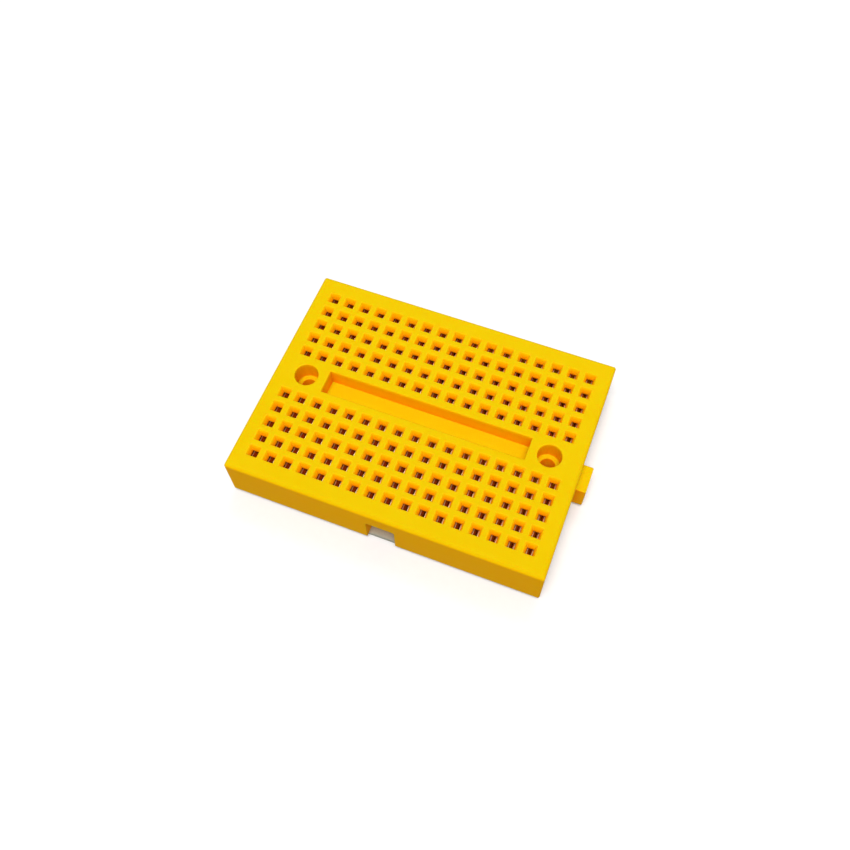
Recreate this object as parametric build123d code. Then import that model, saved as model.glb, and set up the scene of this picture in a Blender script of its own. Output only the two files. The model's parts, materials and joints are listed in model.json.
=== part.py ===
from build123d import *
import os

# Mini solderless breadboard: a moulded plastic housing with two banks of tie points, a sprung metal
# clip under every row of five holes, a foam tape pad that closes the underside, and its release liner.
#
# Frame: millimetres, +Z up, origin at the centre of the underside, on the face that the board rests on.
# +X runs along the board, towards the short side with a tab. +Y points to the rear long side, which
# has the other tab. The front and left sides have the slots that take a neighbour's tabs.

# ---- driving dimensions -----------------------------------------------------------------------------
PITCH = 2.54                # tie-point grid, the 0.1 inch standard
COLUMNS = 17                # clips in each bank
ROWS = 5                    # holes over each clip
BANK_GAP = 3 * PITCH        # between the two rows next to the channel, the width of a narrow chip

LINER_THICKNESS = 0.1
FOAM_THICKNESS = 0.7
TAPE_INSET = 0.6            # from the housing's sides, so that its edge shows inside the slots
TAPE_CORNER = 1.0

BOARD_LENGTH = 46.8
BOARD_WIDTH = 34.8
BOARD_TOP = 8.5
CORNER_RADIUS = 0.3         # upright corners
EDGE_RADIUS = 0.6           # round the rim of the top face

MOUTH = 1.6                 # square lead-in of a tie point
MOUTH_CHAMFER = 0.09
SOCKET = 0.95               # square hole at the foot of the lead-in
FUNNEL_DEPTH = 1.0
ROOF = 1.15                 # plastic above a clip cavity

CAVITY_WIDTH = 2.0
CAVITY_LENGTH = ROWS * PITCH - 0.2
CLIP_LENGTH = ROWS * PITCH - 0.5

CHANNEL_LENGTH = 31.0
CHANNEL_WIDTH = 3.6
CHANNEL_DEPTH = 3.0
RIM_CHAMFER = 0.1           # round the channel and the screw holes
POCKET_LENGTH = 29.0        # hollow under the channel, open to the tape
POCKET_WIDTH = 3.0
POCKET_ROOF = 1.2

SCREW_SPACING = 37.2
SCREW_HOLE = 2.2
HEAD_DIAMETER = 3.5
HEAD_DEPTH = 3.1
TAPE_HOLE = 3.0

TAB_WIDTH = 4.1
TAB_REACH = 1.5
TAB_TOP = 5.15
TAB_CHAMFER = 0.15
SLOT_WIDTH = 4.25
SLOT_DEPTH = 1.6
SLOT_TOP = 5.5
SLOT_CORNER = 0.4

SHEET = 0.15                # clip metal
CLIP_HALF_WIDTH = 0.85      # the rest are to the middle of the sheet
CLIP_SHOULDER = 2.0
CLIP_PINCH = 0.14
CLIP_PINCH_HEIGHT = 5.2
CLIP_TIP = 0.38
CLIP_HEIGHT = 6.3
SPINE_BEND = 0.3
SHOULDER_BEND = 1.5
PINCH_BEND = 0.5
SLIT_FOOT = 1.5             # height at which the slits between fingers start
SLIT_WIDTH = 0.45
SLIT_TOP_WIDTH = 0.8

# ---- places worked out from them --------------------------------------------------------------------
FOAM_TOP = LINER_THICKNESS + FOAM_THICKNESS
BOARD_BOTTOM = FOAM_TOP
CAVITY_TOP = BOARD_TOP - ROOF
CHANNEL_FLOOR = BOARD_TOP - CHANNEL_DEPTH
BANK_CENTRE = BANK_GAP / 2 + (ROWS - 1) / 2 * PITCH
SIDES = {"rear": 1, "front": -1}


def column_x(column):
    """Centre of a column, counted from 0 at the left."""
    return (column - (COLUMNS - 1) / 2) * PITCH


def row_offset(row):
    """Centre of a row, from the middle of its bank."""
    return (row - (ROWS - 1) / 2) * PITCH


def block(length, width, bottom, top, corner=0.0):
    """An upright block centred on Z, with rounded upright corners if asked."""
    outline = RectangleRounded(length, width, corner) if corner else Rectangle(length, width)
    return Pos(0, 0, bottom) * extrude(outline, top - bottom)


def rod(diameter, bottom, top):
    """An upright cylinder centred on Z."""
    return Pos(0, 0, bottom) * extrude(Circle(diameter / 2), top - bottom)


def screw_places():
    return [Pos(side * SCREW_SPACING / 2, 0, 0) for side in (-1, 1)]


# ---- housing ----------------------------------------------------------------------------------------
def shell():
    """The outer block, with its two tabs and its two slots."""
    body = block(BOARD_LENGTH, BOARD_WIDTH, BOARD_BOTTOM, BOARD_TOP, CORNER_RADIUS)
    rim = body.faces().sort_by(Axis.Z)[-1].edges()
    body = fillet(rim, EDGE_RADIUS)
    body += Pos(BOARD_LENGTH / 2, 0, 0) * tab()
    body += Pos(0, BOARD_WIDTH / 2, 0) * Rot(0, 0, 90) * tab()
    body -= Pos(-BOARD_LENGTH / 2, 0, 0) * slot()
    body -= Pos(0, -BOARD_WIDTH / 2, 0) * Rot(0, 0, 90) * slot()
    return body


def tab():
    """A tab that points along +X from a wall at X 0, rooted a little way into that wall."""
    root = CORNER_RADIUS
    height = TAB_TOP - BOARD_BOTTOM
    solid = Box(TAB_REACH + root, TAB_WIDTH, height, align=(Align.MIN, Align.CENTER, Align.MIN))
    solid = Pos(-root, 0, BOARD_BOTTOM) * solid
    outer = solid.faces().sort_by(Axis.X)[-1]
    return chamfer(outer.edges().filter_by(Axis.Z), TAB_CHAMFER)


def slot():
    """The cutter for a slot that runs inwards, along +X from a wall at X 0, and is open below."""
    clear = CORNER_RADIUS       # past the wall and past the underside, so that both stay open
    solid = Box(SLOT_DEPTH + clear, SLOT_WIDTH, SLOT_TOP, align=(Align.MIN, Align.CENTER, Align.MIN))
    ceiling = solid.faces().sort_by(Axis.Z)[-1]
    return Pos(-clear, 0, 0) * fillet(ceiling.edges().filter_by(Axis.X), SLOT_CORNER)


def channel():
    """The cutter for the open channel between the banks, with its eased rim."""
    trough = block(CHANNEL_LENGTH, CHANNEL_WIDTH, CHANNEL_FLOOR, BOARD_TOP)
    rim_bottom = Rectangle(CHANNEL_LENGTH, CHANNEL_WIDTH)
    rim_top = Rectangle(CHANNEL_LENGTH + 2 * RIM_CHAMFER, CHANNEL_WIDTH + 2 * RIM_CHAMFER)
    rim = loft([Pos(0, 0, BOARD_TOP - RIM_CHAMFER) * rim_bottom, Pos(0, 0, BOARD_TOP) * rim_top])
    return trough + rim


def screw_hole():
    """The cutter for a cap screw's hole: a flat seat for the head and a clear hole below it."""
    hole = rod(SCREW_HOLE, BOARD_BOTTOM, BOARD_TOP)
    seat = rod(HEAD_DIAMETER, BOARD_TOP - HEAD_DEPTH, BOARD_TOP)
    head_radius = HEAD_DIAMETER / 2
    rim = Cone(head_radius, head_radius + RIM_CHAMFER, RIM_CHAMFER)
    return hole + seat + Pos(0, 0, BOARD_TOP - RIM_CHAMFER / 2) * rim


def tie_point():
    """The cutter for one square hole: eased rim, tapered lead-in, then a short straight hole."""
    funnel_bottom = BOARD_TOP - FUNNEL_DEPTH
    mouth_height = BOARD_TOP - MOUTH_CHAMFER
    rim_width = MOUTH + 2 * MOUTH_CHAMFER
    foot = Pos(0, 0, funnel_bottom) * Rectangle(SOCKET, SOCKET)
    mouth = Pos(0, 0, mouth_height) * Rectangle(MOUTH, MOUTH)
    rim = Pos(0, 0, BOARD_TOP) * Rectangle(rim_width, rim_width)
    hole = block(SOCKET, SOCKET, CAVITY_TOP, funnel_bottom)
    return hole + loft([foot, mouth]) + loft([mouth, rim])


def clip_cutter():
    """The cutter for one clip's cavity and the row of tie points over it."""
    cutter = block(CAVITY_WIDTH, CAVITY_LENGTH, BOARD_BOTTOM, CAVITY_TOP)
    point = tie_point()
    for row in range(ROWS):
        cutter += Pos(0, row_offset(row), 0) * point
    return cutter


def housing():
    body = shell()
    body -= channel()
    body -= block(POCKET_LENGTH, POCKET_WIDTH, BOARD_BOTTOM, CHANNEL_FLOOR - POCKET_ROOF)
    body -= [place * screw_hole() for place in screw_places()]
    cutter = clip_cutter()
    body -= [
        Pos(column_x(column), side * BANK_CENTRE, 0) * cutter
        for side in SIDES.values()
        for column in range(COLUMNS)
    ]
    return body


# ---- clip -------------------------------------------------------------------------------------------
def clip_outline():
    """The section across a clip: a flat spine and two leaves that pinch together and flare at the top."""
    half = [
        (CLIP_HALF_WIDTH, SHEET / 2),
        (CLIP_HALF_WIDTH, CLIP_SHOULDER),
        (CLIP_PINCH, CLIP_PINCH_HEIGHT),
        (CLIP_TIP, CLIP_HEIGHT),
    ]
    left = [(-x, z) for x, z in reversed(half)]
    bends = [PINCH_BEND, SHOULDER_BEND, SPINE_BEND]
    centreline = FilletPolyline(*left, *half, radius=bends + bends[::-1])
    one_side = offset(centreline, SHEET / 2, side=Side.LEFT, closed=False)
    other_side = offset(centreline, SHEET / 2, side=Side.RIGHT, closed=False)
    tips = [Line(one_side @ 0, other_side @ 1), Line(one_side @ 1, other_side @ 0)]
    return make_face([*one_side.edges(), *other_side.edges(), *tips])


def slit():
    """The cutter for the gap between two pairs of fingers, wider at the top, with a round foot."""
    top = CLIP_HEIGHT + SHEET
    gap = Polygon(
        (-SLIT_WIDTH / 2, SLIT_FOOT),
        (SLIT_WIDTH / 2, SLIT_FOOT),
        (SLIT_TOP_WIDTH / 2, top),
        (-SLIT_TOP_WIDTH / 2, top),
        align=None,
    )
    outline = Plane.YZ * (gap + Pos(0, SLIT_FOOT) * Circle(SLIT_WIDTH / 2))
    return extrude(outline, 2 * CLIP_HALF_WIDTH, both=True)


def clip():
    """One clip, standing on Z 0 at the middle of its length."""
    strip = extrude(Plane.XZ * clip_outline(), CLIP_LENGTH / 2, both=True)
    return strip - [Pos(0, row_offset(edge) - PITCH / 2, 0) * slit() for edge in range(ROWS + 1)]


# ---- tape -------------------------------------------------------------------------------------------
def tape_layer(bottom, top):
    """One layer of the die-cut tape, punched where the screws pass."""
    length = BOARD_LENGTH - 2 * TAPE_INSET
    width = BOARD_WIDTH - 2 * TAPE_INSET
    layer = block(length, width, bottom, top, TAPE_CORNER)
    return layer - [place * rod(TAPE_HOLE, bottom, top) for place in screw_places()]


# ---- nodes ------------------------------------------------------------------------------------------
def parts():
    """Every node's name and solid."""
    nodes = {
        "housing": housing(),
        "foam_pad": tape_layer(LINER_THICKNESS, FOAM_TOP),
        "release_liner": tape_layer(0, LINER_THICKNESS),
    }
    one_clip = clip()
    for bank, side in SIDES.items():
        for column in range(COLUMNS):
            place = Pos(column_x(column), side * BANK_CENTRE, FOAM_TOP)
            nodes[f"clip_{bank}_{column + 1:02d}"] = place * one_clip
    return nodes


def main():
    os.makedirs("parts", exist_ok=True)
    for name, solid in parts().items():
        export_step(solid, f"parts/{name}.step")


main()
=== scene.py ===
import json
import math

import bmesh
import bpy
from mathutils import Matrix, Vector, noise


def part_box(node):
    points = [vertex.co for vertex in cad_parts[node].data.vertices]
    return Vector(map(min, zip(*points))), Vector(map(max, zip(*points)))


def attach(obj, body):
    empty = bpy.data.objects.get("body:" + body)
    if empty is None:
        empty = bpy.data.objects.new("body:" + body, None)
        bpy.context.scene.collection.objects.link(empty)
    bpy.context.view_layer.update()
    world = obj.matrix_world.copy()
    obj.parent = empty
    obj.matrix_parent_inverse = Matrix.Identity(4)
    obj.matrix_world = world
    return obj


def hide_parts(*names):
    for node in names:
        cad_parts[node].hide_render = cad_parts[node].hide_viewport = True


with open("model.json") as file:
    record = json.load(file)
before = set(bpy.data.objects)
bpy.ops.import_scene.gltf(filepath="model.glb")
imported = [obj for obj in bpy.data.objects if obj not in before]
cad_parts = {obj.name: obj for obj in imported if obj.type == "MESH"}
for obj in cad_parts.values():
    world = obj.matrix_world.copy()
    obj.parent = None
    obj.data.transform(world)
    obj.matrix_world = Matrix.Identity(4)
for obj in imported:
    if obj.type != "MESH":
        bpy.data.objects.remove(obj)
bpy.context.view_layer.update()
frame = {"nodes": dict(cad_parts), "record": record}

# A mini solderless breadboard on a pale table. Metres, +Z up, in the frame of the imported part: the
# origin is the middle of the underside, and +X runs along the board towards the side with a tab.

MM = 0.001
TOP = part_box("housing")[1].z
CLIPS = sorted(name for name in frame["nodes"] if name.startswith("clip_"))


# ---- camera: above the front right corner, looking down at about 62 degrees ---------------------
CAMERA_TARGET = Vector((0.65 * MM, -1.64 * MM, TOP))
CAMERA_DISTANCE = 126.1 * MM
CAMERA_AZIMUTH = math.radians(22.72)
CAMERA_ELEVATION = math.radians(61.92)
CAMERA_ROLL = math.radians(-1.71)
CAMERA_LENS = 37.69
CAMERA_NEAR, CAMERA_FAR = 1 * MM, 10


def camera():
    data = bpy.data.cameras.new("camera")
    data.lens = CAMERA_LENS
    data.clip_start, data.clip_end = CAMERA_NEAR, CAMERA_FAR
    item = bpy.data.objects.new("camera", data)
    bpy.context.collection.objects.link(item)
    turn = (
        Matrix.Rotation(CAMERA_AZIMUTH, 4, "Z")
        @ Matrix.Rotation(math.pi / 2 - CAMERA_ELEVATION, 4, "X")
        @ Matrix.Rotation(CAMERA_ROLL, 4, "Z")
    )
    back = turn @ Vector((0, 0, CAMERA_DISTANCE))
    item.matrix_world = Matrix.Translation(CAMERA_TARGET + back) @ turn
    bpy.context.scene.camera = item


# ---- material helpers ---------------------------------------------------------------------------
def new_material(name, **values):
    """A material with a Principled shader, its constants set, and the object's own coordinates."""
    material = bpy.data.materials.new(name)
    material.use_nodes = True
    tree = material.node_tree
    shader = tree.nodes["Principled BSDF"]
    for key, value in values.items():
        shader.inputs[key.replace("_", " ")].default_value = value
    return material, tree, shader, node(tree, "ShaderNodeTexCoord")


def node(tree, kind, **values):
    """Adds a node and sets its properties and, by their names with _ for spaces, its inputs."""
    made = tree.nodes.new(kind)
    for key, value in values.items():
        if hasattr(made, key):
            setattr(made, key, value)
        else:
            made.inputs[key.replace("_", " ")].default_value = value
    return made


def link(tree, source, output, target, entry):
    tree.links.new(source.outputs[output], target.inputs[entry])


def noise_texture(tree, place, size, stretch=(1, 1, 1), detail=2.0, rough=0.5, warp=0.0):
    """Noise with features about size metres across, and stretched where stretch is under 1."""
    mapping = node(tree, "ShaderNodeMapping", Scale=[share / size for share in stretch])
    texture = node(
        tree, "ShaderNodeTexNoise", Scale=1, Detail=detail, Roughness=rough, Distortion=warp
    )
    link(tree, place, "Object", mapping, "Vector")
    link(tree, mapping, "Vector", texture, "Vector")
    return texture


def spread(tree, source, output, low, high, from_low=0.3, from_high=0.7):
    """Maps a noise's usual range, or the one given, to low..high, and no further."""
    span = node(
        tree, "ShaderNodeMapRange", From_Min=from_low, From_Max=from_high, To_Min=low, To_Max=high
    )
    link(tree, source, output, span, "Value")
    return span


def blend(tree, factor, output, first, second):
    """A colour that goes from first to second as the factor goes from 0 to 1."""
    ramp = node(tree, "ShaderNodeValToRGB")
    ramp.color_ramp.elements[0].color = (*first, 1)
    ramp.color_ramp.elements[1].color = (*second, 1)
    link(tree, factor, output, ramp, "Fac")
    return ramp


# The sockets of a Mix node that are for colours. Its others have the same names.
MIX_FIRST, MIX_SECOND, MIX_RESULT = 6, 7, 2


def mix(tree, factor, output, first, second):
    """A colour output from first to second, each of them a colour or another such output."""
    made = node(tree, "ShaderNodeMix", data_type="RGBA")
    link(tree, factor, output, made, "Factor")
    for entry, colour in ((MIX_FIRST, first), (MIX_SECOND, second)):
        if isinstance(colour, tuple):
            made.inputs[entry].default_value = (*colour, 1)
        else:
            tree.links.new(colour, made.inputs[entry])
    return made.outputs[MIX_RESULT]


def upward(tree, source, output):
    """The node whose Z output is the vector's part along +Z."""
    parts = node(tree, "ShaderNodeSeparateXYZ")
    link(tree, source, output, parts, "Vector")
    return parts


def bump(tree, height, output, distance, strength=1.0, under=None):
    """A bump of that height in metres, on top of another bump or normal if one is given."""
    made = node(tree, "ShaderNodeBump", Strength=strength, Distance=distance)
    link(tree, height, output, made, "Height")
    if under:
        link(tree, under, "Normal", made, "Normal")
    return made


def arithmetic(tree, operation, first, first_output, second, second_output):
    """Two outputs multiplied, subtracted and so on, as the operation says."""
    made = node(tree, "ShaderNodeMath", operation=operation)
    tree.links.new(first.outputs[first_output], made.inputs[0])
    tree.links.new(second.outputs[second_output], made.inputs[1])
    return made


EDGE_TURN = 0.90, 0.995         # the eased normal along the face's own: at an edge, and on a flat


def edge_mask(tree, eased):
    """From 0 on the flats to 1 on the outer and inner edges, where the eased normal turns."""
    geometry = node(tree, "ShaderNodeNewGeometry")
    agree = node(tree, "ShaderNodeVectorMath", operation="DOT_PRODUCT")
    tree.links.new(eased.outputs["Normal"], agree.inputs[0])
    tree.links.new(geometry.outputs["True Normal"], agree.inputs[1])
    return spread(tree, agree, "Value", 1, 0, *EDGE_TURN)


# ---- housing: yellow ABS, which lets red light furthest through, its shade partly painted -------
TONE_LIT_LEVEL = (0.67, 0.45, 0.001), (0.70, 0.48, 0.003)    # the lit tone, painted on level faces, with faint streaks
# painted shade: upright faces get a redder tone than level ones
PAINTED_SHADE_UPRIGHT = (0.99, 0.43, 0.0)
PAINTED_SHADE_HOLLOW = (0.90, 0.27, 0.0)  # painted shade, redder still, on upright faces with another close in front
PAINTED_LIGHT_LIP = (0.99, 0.58, 0.0)     # painted light, paler, on upright faces just under the top
DYE_RUBBED = (0.95, 0.53, 0.01)

EASED_EDGE = 0.25 * MM
HOLLOW_SHADE_REACH = 1.8 * MM         # a face further off than this adds no painted shade to a hollow
HOLLOW_SHADE_OPEN = 0.32, 0.82        # the open share of a face's view, for the painted shade: deep in a hollow, and outside
SHADE_TO_LIT_FACING = 0.30, 0.85       # the upward part of the normal: upright with painted shade, and level with the lit tone
# painted light reaches this far down the upright faces under the top
LIP_LIGHT_DEPTH = 0.9 * MM
RUBBED_GLOSS = 0.12             # a rubbed edge is this much less rough


def housing_plastic():
    """Moulded ABS, dyed yellow: fine grain, slow sink waves, and edges rubbed smoother and paler.

    Painted shade makes upright faces and hollows redder; painted light pales walls under the top.
    """
    material, tree, shader, place = new_material(
        "housing_plastic",
        Specular_IOR_Level=0.015,
        Specular_Tint=(1.0, 0.80, 0.12, 1),
        Subsurface_Weight=0.5,
        Subsurface_Radius=(1.0, 0.30, 0.02),
        Subsurface_Scale=0.7 * MM,
    )
    eased = node(tree, "ShaderNodeBevel", samples=6, Radius=EASED_EDGE)
    edges = edge_mask(tree, eased)
    flow = noise_texture(tree, place, size=6 * MM, detail=3, warp=0.8)
    grain = noise_texture(tree, place, size=0.10 * MM, detail=3)
    sink = noise_texture(tree, place, size=5 * MM)
    rub = noise_texture(tree, place, size=0.9 * MM, stretch=(0.15, 1, 1), detail=4, rough=0.7)

    # Painted shade: ambient occlusion reddens upright faces deep in hollows.
    hollow_ao = node(
        tree, "ShaderNodeAmbientOcclusion", samples=6, only_local=True, Distance=HOLLOW_SHADE_REACH
    )
    streaks = spread(tree, flow, "Fac", 0.94, 1.0)
    opened = arithmetic(tree, "MULTIPLY", hollow_ao, "AO", streaks, "Result")
    hollow_shade_mask = spread(tree, opened, "Value", 0, 1, *HOLLOW_SHADE_OPEN)
    upright_shade = blend(tree, hollow_shade_mask, "Result", PAINTED_SHADE_HOLLOW, PAINTED_SHADE_UPRIGHT)
    # Painted light and shade: level faces take the lit tone, upright ones the shaded tone.
    level = blend(tree, flow, "Fac", *TONE_LIT_LEVEL)
    lit_share = spread(tree, upward(tree, eased, "Normal"), "Z", 0, 1, *SHADE_TO_LIT_FACING)
    # Painted light: upright faces just under the top turn paler.
    lip_light = spread(tree, upward(tree, place, "Object"), "Z", 0, 1, TOP - LIP_LIGHT_DEPTH, TOP)
    shade_and_lip_light = mix(tree, lip_light, "Result", upright_shade.outputs["Color"], PAINTED_LIGHT_LIP)
    dye_and_painted_shade = mix(tree, lit_share, "Result", shade_and_lip_light, level.outputs["Color"])
    wear = arithmetic(tree, "MULTIPLY", edges, "Result", rub, "Fac")
    worn = mix(tree, wear, "Value", dye_and_painted_shade, DYE_RUBBED)
    tree.links.new(worn, shader.inputs["Base Color"])

    flat = spread(tree, rub, "Fac", 0.40, 0.54)
    gloss = spread(tree, wear, "Value", 0, RUBBED_GLOSS, 0, 1)
    smooth = arithmetic(tree, "SUBTRACT", flat, "Result", gloss, "Result")
    link(tree, smooth, "Value", shader, "Roughness")

    waves = bump(tree, sink, "Fac", distance=0.04 * MM, strength=0.5, under=eased)
    grained = bump(tree, grain, "Fac", distance=0.014 * MM, strength=0.9, under=waves)
    link(tree, grained, "Normal", shader, "Normal")
    return material


# ---- contact clips: nickel over spring bronze ---------------------------------------------------
SHADE_BRONZE = (0.62, 0.15, 0.01), (0.80, 0.24, 0.02)         # painted shade: dark red-brown below the tips, in patches
NICKEL_GLINT = (1.0, 0.82, 0.44)
PLATED_GLINT_BAND = 0.07 * MM         # real nickel plate, kept bright only at the finger tips as a painted highlight


def clip_metal():
    """Spring bronze with rolling lines: bright nickel tips as painted highlight, red-brown below as
    painted shade.
    """
    material, tree, shader, place = new_material("clip_metal", Metallic=1.0)
    lines = noise_texture(tree, place, size=0.05 * MM, stretch=(1, 0.04, 1), detail=3)
    patches = noise_texture(tree, place, size=0.8 * MM, detail=3, warp=0.5)
    eased = node(tree, "ShaderNodeBevel", samples=4, Radius=0.03 * MM)
    # Painted shade: below its tips the clip is a dark red-brown.
    shade_bronze = blend(tree, patches, "Fac", *SHADE_BRONZE)
    height = upward(tree, place, "Object")
    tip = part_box(CLIPS[0])[1].z
    # Painted highlight: the nickel is bright only in a band at the tips.
    plated_glint = spread(tree, height, "Z", 0, 1, tip - 2 * PLATED_GLINT_BAND, tip - PLATED_GLINT_BAND)
    tint = mix(tree, plated_glint, "Result", shade_bronze.outputs["Color"], NICKEL_GLINT)
    tree.links.new(tint, shader.inputs["Base Color"])
    link(tree, spread(tree, plated_glint, "Result", 0.62, 0.33, 0, 1), "Result", shader, "Roughness")
    rolled = bump(tree, lines, "Fac", distance=0.002 * MM, strength=0.6, under=eased)
    link(tree, rolled, "Normal", shader, "Normal")
    return material


# ---- foam tape, its liner, and the table --------------------------------------------------------
FOAM_CELL = 0.22 * MM
FOAM_GREY = (0.34, 0.34, 0.27), (0.43, 0.42, 0.34)
PAPER_BROWN = (0.47, 0.39, 0.23), (0.56, 0.48, 0.31)
TABLE_WHITE = (0.77, 0.77, 0.77), (0.81, 0.81, 0.81)


def tape_foam():
    """Pale grey closed-cell foam: packed round cells, and a dull tacky film over them."""
    material, tree, shader, place = new_material(
        "tape_foam",
        Specular_IOR_Level=0.3,
        Subsurface_Weight=0.25,
        Subsurface_Radius=(1.0, 0.9, 0.7),
        Subsurface_Scale=0.4 * MM,
    )
    cells = node(
        tree, "ShaderNodeTexVoronoi", feature="SMOOTH_F1", Scale=1 / FOAM_CELL, Smoothness=0.4
    )
    link(tree, place, "Object", cells, "Vector")
    stains = noise_texture(tree, place, size=3 * MM, detail=4)
    tint = blend(tree, stains, "Fac", *FOAM_GREY)
    link(tree, tint, "Color", shader, "Base Color")
    link(tree, spread(tree, cells, "Distance", 0.85, 0.6, 0, 0.8), "Result", shader, "Roughness")
    dimpled = bump(tree, cells, "Distance", distance=0.05 * MM, strength=0.8)
    link(tree, dimpled, "Normal", shader, "Normal")
    return material


def liner_paper():
    """Light brown release paper with short fibres, a waxy face and faint creases."""
    material, tree, shader, place = new_material(
        "liner_paper",
        Specular_IOR_Level=0.5,
        Coat_Weight=0.3,
        Coat_Roughness=0.35,
    )
    fibres = noise_texture(
        tree, place, size=0.12 * MM, stretch=(0.2, 1, 1), detail=5, rough=0.65, warp=0.6
    )
    clouds = noise_texture(tree, place, size=2.5 * MM, detail=4)
    creases = noise_texture(tree, place, size=9 * MM, stretch=(1, 0.5, 1), detail=1)
    tint = blend(tree, clouds, "Fac", *PAPER_BROWN)
    link(tree, tint, "Color", shader, "Base Color")
    link(tree, spread(tree, fibres, "Fac", 0.42, 0.62), "Result", shader, "Roughness")
    creased = bump(tree, creases, "Fac", distance=0.25 * MM, strength=0.5)
    rough = bump(tree, fibres, "Fac", distance=0.012 * MM, strength=0.6, under=creased)
    link(tree, rough, "Normal", shader, "Normal")
    return material


def table_paint():
    """Matt white paint with a faint roller texture."""
    material, tree, shader, place = new_material("table_paint", Specular_IOR_Level=0.2)
    roller = noise_texture(tree, place, size=1.2 * MM, detail=3)
    tint = blend(tree, roller, "Fac", *TABLE_WHITE)
    link(tree, tint, "Color", shader, "Base Color")
    link(tree, spread(tree, roller, "Fac", 0.6, 0.75), "Result", shader, "Roughness")
    stippled = bump(tree, roller, "Fac", distance=0.01 * MM, strength=0.3)
    link(tree, stippled, "Normal", shader, "Normal")
    return material


def new_object(name, build, material):
    """An object with the mesh that was built and one material all over."""
    mesh = bpy.data.meshes.new(name)
    build.to_mesh(mesh)
    build.free()
    mesh.materials.append(material)
    item = bpy.data.objects.new(name, mesh)
    bpy.context.collection.objects.link(item)
    return item


def dress(name, material):
    """Gives a CAD node one material all over."""
    item = frame["nodes"][name]
    item.data.materials.clear()
    item.data.materials.append(material)


# ---- foam pad: die-cut, with cut sides that swell a little and show their cells -----------------
PAD_CORNER = 1.0 * MM
PAD_HOLE = 1.5 * MM             # radius of the punched holes
PAD_STEP = 0.25 * MM            # between points along the cut
PAD_SWELL = 0.05 * MM           # the middle of the cut side stands out this far
PAD_PIT = 0.06 * MM             # depth of an opened cell
PAD_CELL = 0.35 * MM            # from one opened cell to the next
PAD_LEVELS = 6                  # rings of faces up the cut side


def rounded_rectangle(low, high, corner, step):
    """Points round a rectangle with round corners, each with its outward direction."""
    outline = []
    centres = (
        (high.x - corner, high.y - corner),
        (low.x + corner, high.y - corner),
        (low.x + corner, low.y + corner),
        (high.x - corner, low.y + corner),
    )
    arc_steps = math.ceil(corner * math.pi / 2 / step)
    for index, centre in enumerate(centres):
        for count in range(arc_steps + 1):
            angle = math.pi / 2 * (index + count / arc_steps)
            outward = Vector((math.cos(angle), math.sin(angle)))
            outline.append((Vector(centre) + corner * outward, outward))
        run_end = Vector(centres[(index + 1) % 4]) + corner * outward
        run = run_end - outline[-1][0]
        run_steps = round(run.length / step)
        start = outline[-1][0]
        outline += [(start + run * count / run_steps, outward) for count in range(1, run_steps)]
    return outline


def circle(centre, radius, step):
    """Points round a hole, each with its direction out of the foam, towards the hole's centre."""
    count = math.ceil(2 * math.pi * radius / step)
    turns = [math.tau * index / count for index in range(count)]
    rays = [Vector((math.cos(turn), math.sin(turn))) for turn in turns]
    return [(centre + radius * ray, -ray) for ray in rays]


def cut_side(build, outline, bottom, top):
    """The wall along one cut. Returns the edges of its lowest and of its highest ring."""
    rings = []
    for level in range(PAD_LEVELS + 1):
        share = level / PAD_LEVELS
        bow = math.sin(math.pi * share)
        height = bottom + (top - bottom) * share
        ring = []
        for point, outward in outline:
            cell = noise.noise(Vector((*point, height)) / PAD_CELL)
            out = bow * (PAD_SWELL + PAD_PIT * cell)
            ring.append(build.verts.new((*(point + outward * out), height)))
        rings.append(ring)
    count = len(outline)
    for lower, upper in zip(rings, rings[1:]):
        for i in range(count):
            j = (i + 1) % count
            build.faces.new((lower[i], lower[j], upper[j], upper[i]))
    ends = rings[0], rings[-1]
    return [[build.edges.get((ring[i - 1], ring[i])) for i in range(count)] for ring in ends]


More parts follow.
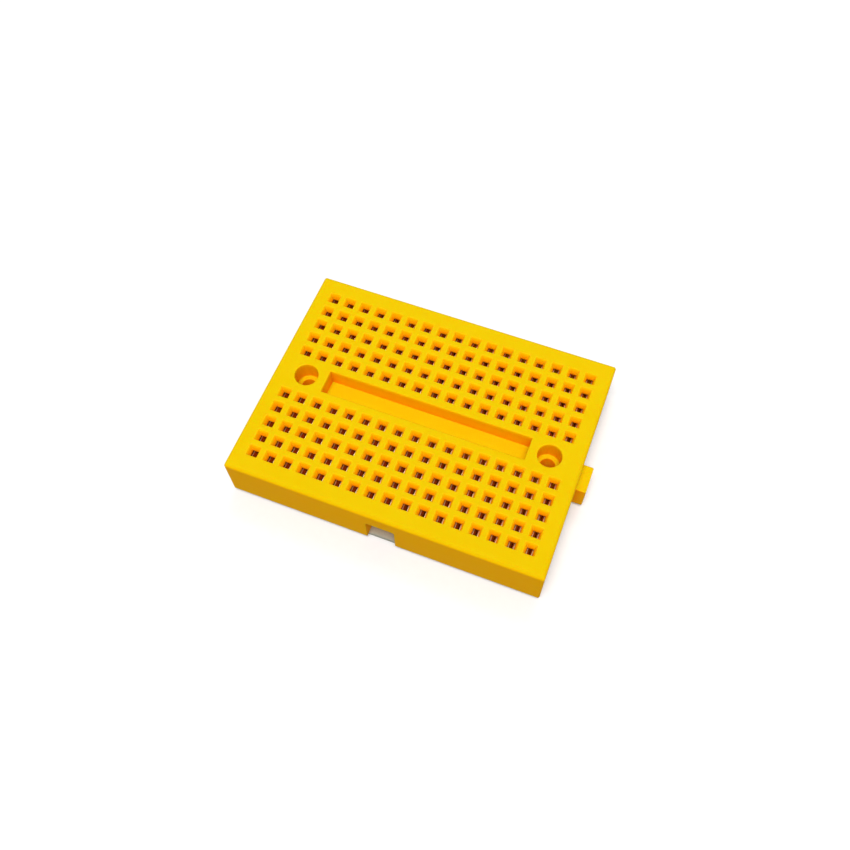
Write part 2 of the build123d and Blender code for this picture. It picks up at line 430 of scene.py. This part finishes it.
def foam_pad():
    """The pad with its two punched holes, in place of the plain one from the CAD model."""
    low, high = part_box("foam_pad")
    holes = next(mount for mount in frame["record"]["mounts"] if mount["name"] == "screw_holes")
    reach = holes["dims"]["spacing_x_mm"] / 2 * MM
    build = bmesh.new()
    outlines = [rounded_rectangle(low, high, PAD_CORNER, PAD_STEP)]
    outlines += [circle(Vector((side * reach, 0)), PAD_HOLE, PAD_STEP) for side in (-1, 1)]
    floor_edges, roof_edges = [], []
    for outline in outlines:
        lowest, highest = cut_side(build, outline, low.z, high.z)
        floor_edges += lowest
        roof_edges += highest
    for edges in (floor_edges, roof_edges):
        bmesh.ops.triangle_fill(build, edges=edges, use_beauty=True)
    bmesh.ops.recalc_face_normals(build, faces=build.faces)
    item = new_object("tape_pad", build, tape_foam())
    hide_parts("foam_pad")
    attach(item, "board")


# ---- table and lights ---------------------------------------------------------------------------
TABLE_HALF = 1.5
WHITE = (1, 1, 1, 1)
ROOM_LIGHT = 0.36               # how bright the pale room is as a light
BACKDROP = 0.92                 # and how bright where the camera sees it
LAMPS = (                       # name, place, diameter and power in watts, each facing the board
    ("top_light", Vector((0.4, -1.7, 5.8)), 3.4, 376),
    ("back_light", Vector((-0.2, 3.0, 5.5)), 2.0, 45),
)


def table():
    """The floor. It throws no light up, so that the sides of the board keep their shade."""
    build = bmesh.new()
    bmesh.ops.create_grid(build, x_segments=1, y_segments=1, size=TABLE_HALF)
    item = new_object("table", build, table_paint())
    item.visible_diffuse = False
    item.visible_glossy = False


def lamp(name, place, size, power):
    data = bpy.data.lights.new(name, "AREA")
    data.shape = "DISK"
    data.size = size
    data.energy = power
    item = bpy.data.objects.new(name, data)
    bpy.context.collection.objects.link(item)
    item.location = place
    item.rotation_euler = (-place).to_track_quat("-Z", "Y").to_euler()


def lights():
    """Two round lamps high over the board, in a pale room."""
    world = bpy.data.worlds.new("studio")
    world.use_nodes = True
    tree = world.node_tree
    fill = tree.nodes["Background"]
    fill.inputs["Color"].default_value = WHITE
    fill.inputs["Strength"].default_value = ROOM_LIGHT
    backdrop = node(tree, "ShaderNodeBackground", Color=WHITE, Strength=BACKDROP)
    path = node(tree, "ShaderNodeLightPath")
    seen = node(tree, "ShaderNodeMixShader")
    link(tree, path, "Is Camera Ray", seen, "Fac")
    tree.links.new(fill.outputs["Background"], seen.inputs[1])
    tree.links.new(backdrop.outputs["Background"], seen.inputs[2])
    link(tree, seen, "Shader", tree.nodes["World Output"], "Surface")
    bpy.context.scene.world = world
    for values in LAMPS:
        lamp(*values)


# ---- all together -------------------------------------------------------------------------------
camera()
dress("housing", housing_plastic())
metal = clip_metal()
for clip in CLIPS:
    dress(clip, metal)
dress("release_liner", liner_paper())
foam_pad()
table()
lights()
bpy.context.scene.view_settings.view_transform = "Standard"
